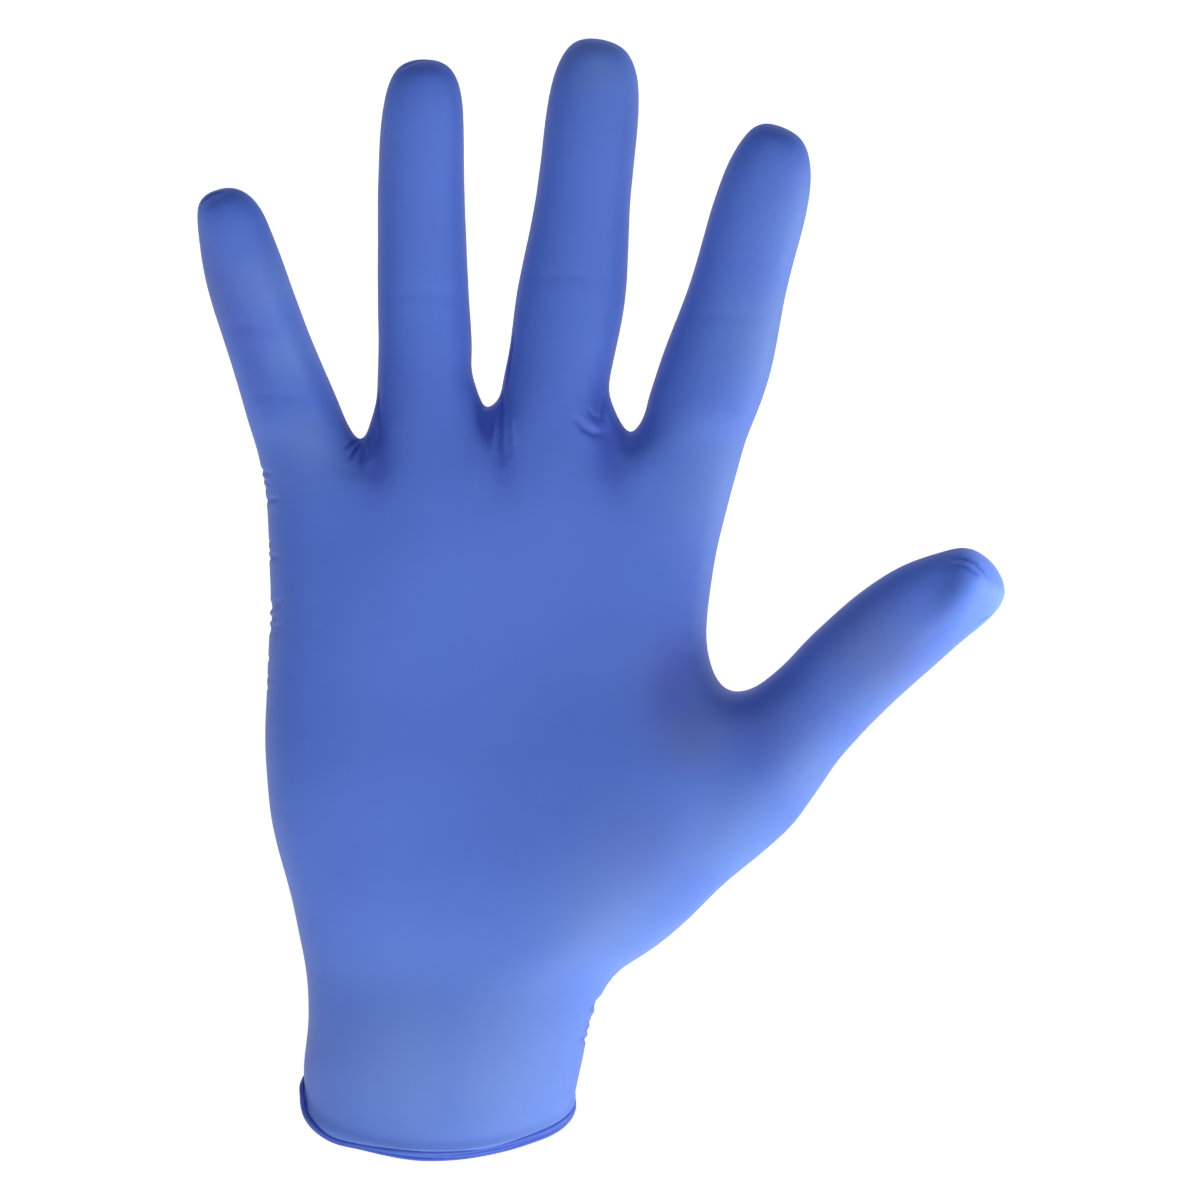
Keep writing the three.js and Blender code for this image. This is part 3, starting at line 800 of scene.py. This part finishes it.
class Nodes:
    """The node tree of a material or a world, with one way to add any node."""

    def __init__(self, owner):
        owner.use_nodes = True
        self.tree = owner.node_tree
        self.tree.nodes.clear()

    def add(self, kind, settings, sockets, output=0):
        """Adds a node with its settings first, then the values or links of its sockets."""
        node = self.tree.nodes.new(kind)
        for name, value in settings.items():
            setattr(node, name, value)
        for key, value in sockets.items():
            if isinstance(value, Value):
                self.tree.links.new(value.socket, node.inputs[key])
            else:
                node.inputs[key].default_value = value
        return Value(self, node.outputs[output]) if node.outputs else None

    def maths(self, operation, first, second, clamp=False):
        settings = {"operation": operation, "use_clamp": clamp}
        return self.add("ShaderNodeMath", settings, {0: first, 1: second})

    def place(self):
        return self.add("ShaderNodeTexCoord", {}, {}, "Object")

    def attribute(self, name):
        return self.add("ShaderNodeAttribute", {"attribute_name": name}, {}, "Fac")

    def noise(self, place, scale, detail):
        sockets = {"Vector": place, "Scale": scale, "Detail": detail}
        return self.add("ShaderNodeTexNoise", {}, sockets)

    def mixed(self, share, first, second):
        sockets = {"Factor": share, "A": first, "B": second}
        return self.add("ShaderNodeMix", {"data_type": "RGBA"}, sockets, output=2)

    def surface(self, sockets):
        shader = self.add("ShaderNodeBsdfPrincipled", {}, sockets)
        self.add("ShaderNodeOutputMaterial", {}, {"Surface": shader})


def nitrile(looks, deep=0.0):
    """Satin blue film: deeper where gathered and with painted shade, greyer where thin and with painted
    shade, paler where stretched and with painted light.

    deep is how much deeper the whole piece is.
    """
    material = bpy.data.materials.new("nitrile_bead" if deep else "nitrile")
    nodes = Nodes(material)
    place = nodes.place()
    gathered = nodes.attribute("gathered")
    cloud = nodes.noise(place, 38.0, 3.0)
    mottle = nodes.noise(place, 420.0, 3.0)
    grain = nodes.noise(place, 2600.0, 2.0)
    # paler where the film is stretched and where light is painted, greyer where it is thin and where shade
    # is painted
    film = nodes.mixed(nodes.attribute("pale"), (*looks.film, 1), (*looks.pale, 1))
    film = nodes.mixed(nodes.attribute("thin"), film, (*looks.thin, 1))
    shade = (cloud - 0.5) * 0.35 + (mottle - 0.5) * 0.112 + 0.01
    # deeper towards the fold colour for gathered film and for painted shade, with random mottling
    dark = nodes.maths("ADD", gathered + deep, shade, clamp=True)
    worn = gathered * 0.1 + looks.roughness
    bump = {"Strength": 0.1, "Distance": 0.0001, "Height": grain + mottle * 1.6}
    nodes.surface({
        "Base Color": nodes.mixed(dark, film, (*looks.fold_and_shade, 1)),
        "Roughness": nodes.maths("ADD", (mottle - 0.5) * 0.14, worn, clamp=True),
        "Normal": nodes.add("ShaderNodeBump", {}, bump),
        "Specular IOR Level": 0.3,
        "Sheen Weight": 0.03,
        "Sheen Roughness": 0.45,
        "Sheen Tint": (0.8, 0.86, 1.0, 1.0),
    })
    return material


def matt(name, tint, roughness, glow):
    """A plain matt surface that glows."""
    material = bpy.data.materials.new(name)
    nodes = Nodes(material)
    nodes.surface({
        "Base Color": (*tint, 1),
        "Roughness": nodes.noise(nodes.place(), 30.0, 2.0) * 0.05 + roughness,
        "Specular IOR Level": 0.2,
        "Emission Color": (1, 1, 1, 1),
        "Emission Strength": glow,
    })
    return material


# Pieces


# Where the film is thin and greyer, and also painted shade on the little finger's left flank, and
# where it is stretched paler, and also painted light where the light falls brightest: the middle and
# the reach of each spot in mm, and how strong it is.
THIN_AND_SHADE_SPOTS = (
    ((50, -12, 90), 9, 0.7),
    ((52, -12, 79), 9, 0.8),
    ((50, 6, 82), 12, 0.5),
    ((91, -14, 98), 11, 0.6),
    ((70, -14, 82), 13, 0.25),
    ((42, -19, 58), 11, 0.25),
    ((36, -5, 205), 8, 0.2),
    ((-16, 0, 140), 6, 0.3),
    # painted shade on the little finger's left flank
    ((-48, -4, 170), 9, 0.7),
)
# painted light on the wrist, the thumb's lower side and tip, the index finger's right edge, the middle
# finger's tip and the little finger's right flank
STRETCHED_AND_LIT_SPOTS = (
    ((-8, -21, 10), 20, 0.9),
    ((14, -21, 10), 20, 1.0),
    ((38, -16, 38), 18, 0.8),
    ((62, -16, 56), 13, 0.8),
    ((78, -14, 70), 10, 0.8),
    ((96, -14, 86), 12, 0.8),
    ((116, -12, 106), 10, 1.0),
    ((60, -8, 130), 12, 0.8),
    ((70, -8, 160), 12, 0.9),
    ((77, -8, 185), 12, 0.6),
    ((33, -12, 219), 8, 0.9),
    ((-33, -8, 172), 8, 1.0),
    ((-30, -8, 158), 8, 0.9),
    ((-26, -12, 139), 8, 0.9),
)


def spots_at(places, spots):
    """How strongly a group of spots colours each place."""
    share = np.zeros(len(places))
    for centre, reach, most in spots:
        gap = np.linalg.norm(places - np.array(centre) * MM, axis=1)
        share = np.maximum(share, most * np.exp(-((gap / (reach * MM)) ** 2)))
    return share


def store(mesh, name, values):
    layer = mesh.attributes.new(name, "FLOAT", "POINT")
    layer.data.foreach_set("value", np.asarray(values, np.float32))


class GLOVE_OT_film(bpy.types.Operator):
    """Models the glove's film with its creases"""

    bl_idname = "glove.film"
    bl_label = "Glove Film"

    def execute(self, context):
        sizes, looks = context.scene.glove_sizes, context.scene.glove_looks
        bm = subdivided(glove_cage(sizes), "glove_cage", FINE)
        shape(bm)
        lines = crease_lines(BVHTree.FromBMesh(bm))
        for reach in SPLIT_REACHES:
            refine_near(bm, lines, reach)
        gathered = press_creases(bm, lines)
        flare(bm, sizes)
        line_with(bm, sizes, lines)
        # the inner wall comes after the outer one, and has neither gathered film nor painted shade
        gathered = np.concatenate([gathered, np.zeros(len(bm.verts) - len(gathered))])
        film = object_from(bm, "glove_film")
        mesh = film.data
        shade_smooth(mesh)
        places = np.array([v.co for v in mesh.vertices])
        # masks of gathered film with painted shade, of thin film with painted shade, and of stretched film
        # with painted light
        store(mesh, "gathered", gathered)
        store(mesh, "thin", spots_at(places, THIN_AND_SHADE_SPOTS))
        store(mesh, "pale", spots_at(places, STRETCHED_AND_LIT_SPOTS))
        mesh.materials.append(nitrile(looks))
        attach(film, "root")
        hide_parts("glove")
        return {"FINISHED"}


# The strands of the rolled rim: how high each lies and how thick it is, as shares of the bead, its
# waves round the rim and where they start, and how much of the rim's loose bulge it takes.
STRANDS = (
    (0.0, 0.85, 4, 0.4, 1.2),
    (-0.5, 0.7, 3, 2.6, 0.55),
    (-0.93, 0.66, 5, 4.0, 0.45),
)
STRAND_SIDES = 8
STAND_OFF = 0.25 * MM  # how far the strands lie outside the film
WAVE = 0.12  # how far a strand swings up and down, and how much its thickness varies
LOOSE_UP, LOOSE_OUT = 2.4, 0.65  # how far the loose rim's bulge moves the strands


def rim_path(sizes):
    """The nudged rim's points, in order round the mouth, and its middle before the nudges."""
    across, columns, _, _ = lay_out(sizes)
    low, high = hand_rows(sizes, across)[:2]
    bm = bmesh.new()
    extrude_loop(bm, loop_at(bm, section_places(low, columns)), section_places(high, columns))
    band = subdivided(bm, "rim_cage", FINE)
    rim = [v.co.copy() for v in band.verts if v.is_boundary and above_mouth(v.co, sizes) < 2 * MM]
    band.free()
    rim.sort(key=lambda place: math.atan2(place.y, place.x))
    middle = sum(rim, Vector()) / len(rim)
    return [Vector(place) for place in nudge(np.array(rim))], middle


def rim_spread(place):
    """How far the strands spread here, and how far the loose rim bulges at the left.

    In front they lie closest together at the left and spread to the right.
    """
    x, y = place.x / MM, place.y / MM
    front = 0.45 + 0.5 * ease((x + 22) / 20) + 0.08 * ease(x / 20)
    spread = front + (0.9 - front) * ease(y / 8)
    bulge = ease((-20 - x) / 8) * ease((y + 16) / 8) * MM
    return spread, bulge


def strand_loops(path, middle, bead, strand):
    """A strand's points, as loops that each run round the whole rim."""
    height, thick, waves, phase, loose = strand
    along = []
    for i, place in enumerate(path):
        away = (place - middle).normalized()
        angle = math.tau * i / len(path)
        spread, bulge = rim_spread(place)
        radius = bead / 2 * thick * (0.8 + 0.2 * spread)
        radius *= 1 + WAVE * math.sin(5 * angle + 2 * phase)
        lift = (height + WAVE * math.sin(waves * angle + phase)) * bead * spread
        lift += LOOSE_UP * bulge * loose * ease((place.y / MM + 6) / 6)
        centre = place + away * (STAND_OFF + LOOSE_OUT * bulge) + Vector((0, 0, lift))
        along.append((centre, away * radius, Vector((0, 0, radius))))
    turns = [math.tau * k / STRAND_SIDES for k in range(STRAND_SIDES)]
    return [[c + out * math.cos(turn) + up * math.sin(turn) for c, out, up in along] for turn in turns]


class GLOVE_OT_bead(bpy.types.Operator):
    """Models the rolled rim as strands of film that merge and part"""

    bl_idname = "glove.bead"
    bl_label = "Rolled Bead"

    def execute(self, context):
        sizes, looks = context.scene.glove_sizes, context.scene.glove_looks
        path, middle = rim_path(sizes)
        bm = bmesh.new()
        for strand in STRANDS:
            loops = strand_loops(path, middle, sizes.bead, strand)
            first = loop = loop_at(bm, loops[0])
            for places in loops[1:]:
                loop = extrude_loop(bm, loop, places)
            bmesh.ops.bridge_loops(bm, edges=loop_edges(bm, loop) + loop_edges(bm, first))
        bmesh.ops.recalc_face_normals(bm, faces=bm.faces[:])
        bead = object_from(bm, "cuff_bead")
        shade_smooth(bead.data)
        for name, value in (("gathered", 0.3), ("thin", 0), ("pale", 0)):
            store(bead.data, name, np.full(len(bead.data.vertices), value))
        bead.data.materials.append(nitrile(looks, 0.2))
        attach(bead, "root")
        return {"FINISHED"}


# The stage

# The backdrop in metres: how far it reaches to each side and to the front, where its floor starts
# to curve up, the radius of that curve, and how high the wall is.
HALF_WIDTH, FRONT, CURVE_START, CURVE, WALL_TOP = 4, -3, 1.4, 0.9, 5.0
CURVE_ANGLES = np.linspace(0.15, math.pi / 2, 10)

# The lights: the name of each one's property, its place, what it is aimed at and its diameter, all
# in metres, and its tint.
LIGHTS = (
    ("key", (0.6, -0.35, -0.1), (0.05, 0, 0.09), 0.35, (1, 0.98, 0.92)),
    ("low", (0.04, -0.25, -0.2), (0.01, 0, 0.01), 0.2, (1, 0.9, 0.72)),
    ("top", (0.1, -0.6, 0.7), (0.03, 0, 0.15), 0.5, (0.62, 0.7, 1)),
    ("right_rim", (0.7, 0.15, -0.05), (0.05, 0, 0.08), 0.4, (0.92, 1, 0.95)),
    ("left_rim", (-0.6, 0.1, 0.05), (0, 0, 0.1), 0.4, (1, 1, 1)),
)
# The spots: the name of each one's property, its place, what it is aimed at and how far round that
# it reaches, all in metres.
SPOTS = (
    ("thumb_spot", (0.5, -0.25, 0.2), (0.117, -0.012, 0.108), 0.02),
    ("little_spot", (0.4, -0.42, 0.22), (-0.027, -0.006, 0.163), 0.02),
)
SPOT_RADIUS = 0.006


def backdrop_mesh(floor):
    """A floor that runs back into a wall through a wide curve."""
    bm = bmesh.new()
    edge = bm.edges.new([bm.verts.new((x, FRONT, floor)) for x in (-HALF_WIDTH, HALF_WIDTH)])
    profile = [(CURVE_START, floor)]
    for angle in CURVE_ANGLES:
        profile.append((CURVE_START + CURVE * math.sin(angle), floor + CURVE * (1 - math.cos(angle))))
    profile.append((CURVE_START + CURVE, WALL_TOP))
    for y, z in profile:
        made = bmesh.ops.extrude_edge_only(bm, edges=[edge])["geom"]
        edges = [g for g in made if isinstance(g, bmesh.types.BMEdge)]
        edge = next(e for e in edges if all(v in made for v in e.verts))
        for vert in edge.verts:
            vert.co.y, vert.co.z = y, z
    bmesh.ops.recalc_face_normals(bm, faces=bm.faces[:])
    return bm


def room(studio):
    """A world that looks pale to the camera and gives a dim, even light."""
    world = bpy.data.worlds.new("studio")
    nodes = Nodes(world)
    dim = {"Color": (0.93, 0.95, 1.0, 1), "Strength": studio.sky}
    nodes.add("ShaderNodeOutputWorld", {}, {
        "Surface": nodes.add("ShaderNodeMixShader", {}, {
            0: nodes.add("ShaderNodeLightPath", {}, {}, "Is Camera Ray"),
            1: nodes.add("ShaderNodeBackground", {}, dim),
            2: nodes.add("ShaderNodeBackground", {}, {"Color": (*studio.backdrop, 1)}),
        }),
    })
    return world


def add_lamp(lamp, place, aim, watts):
    """Stands a lamp at its place, turned to what it is aimed at."""
    lamp.energy = watts
    light = bpy.data.objects.new(lamp.name, lamp)
    light.location = place
    light.rotation_euler = (Vector(aim) - Vector(place)).to_track_quat("-Z", "Y").to_euler()
    bpy.context.scene.collection.objects.link(light)


class GLOVE_OT_stage(bpy.types.Operator):
    """Makes the floor, the lights and the camera"""

    bl_idname = "glove.stage"
    bl_label = "Studio"

    def execute(self, context):
        scene = context.scene
        studio = scene.glove_studio
        backdrop = object_from(backdrop_mesh(-studio.floor_drop), "backdrop")
        shade_smooth(backdrop.data)
        backdrop.data.materials.append(matt("backdrop", studio.backdrop, 0.9, studio.glow))

        scene.world = room(studio)
        for name, place, aim, size, tint in LIGHTS:
            lamp = bpy.data.lights.new(name.replace("_", " "), "AREA")
            lamp.shape = "DISK"
            lamp.size = size
            lamp.color = tint
            add_lamp(lamp, place, aim, getattr(studio, name))
        for name, place, aim, reach in SPOTS:
            lamp = bpy.data.lights.new(name.replace("_", " "), "SPOT")
            lamp.spot_size = 2 * math.atan(reach / (Vector(aim) - Vector(place)).length)
            lamp.spot_blend = 1
            lamp.shadow_soft_size = SPOT_RADIUS
            add_lamp(lamp, place, aim, getattr(studio, name))

        camera = bpy.data.cameras.new("camera")
        camera.sensor_width = 36
        camera.lens = camera.sensor_width * VIEW_DISTANCE / VIEW_WIDTH
        camera.clip_end = 30
        view = bpy.data.objects.new("camera", camera)
        view.location = VIEW_TARGET - view_direction() * VIEW_DISTANCE
        view.rotation_euler = view_direction().to_track_quat("-Z", "Y").to_euler()
        scene.collection.objects.link(view)
        scene.camera = view
        scene.view_settings.view_transform = "Standard"
        return {"FINISHED"}


class GLOVE_PT_panel(bpy.types.Panel):
    """Lists the glove's pieces and their sizes"""

    bl_idname = "GLOVE_PT_panel"
    bl_label = "Nitrile Exam Glove"
    bl_space_type = "VIEW_3D"
    bl_region_type = "UI"
    bl_category = "Glove"

    def draw(self, context):
        for group in (context.scene.glove_sizes, context.scene.glove_looks, context.scene.glove_studio):
            box = self.layout.box()
            for name in group.__annotations__:
                box.prop(group, name)
        for operator in OPERATORS:
            self.layout.operator(operator.bl_idname)


OPERATORS = (GLOVE_OT_film, GLOVE_OT_bead, GLOVE_OT_stage)
CLASSES = (GloveSizes, GloveLooks, GloveStudio, *OPERATORS, GLOVE_PT_panel)


def register():
    for cls in CLASSES:
        bpy.utils.register_class(cls)
    bpy.types.Scene.glove_sizes = PointerProperty(type=GloveSizes)
    bpy.types.Scene.glove_looks = PointerProperty(type=GloveLooks)
    bpy.types.Scene.glove_studio = PointerProperty(type=GloveStudio)


def unregister():
    del bpy.types.Scene.glove_studio
    del bpy.types.Scene.glove_looks
    del bpy.types.Scene.glove_sizes
    for cls in reversed(CLASSES):
        bpy.utils.unregister_class(cls)


def main():
    register()
    bpy.ops.glove.film()
    bpy.ops.glove.bead()
    bpy.ops.glove.stage()


if __name__ == "__main__":
    main()
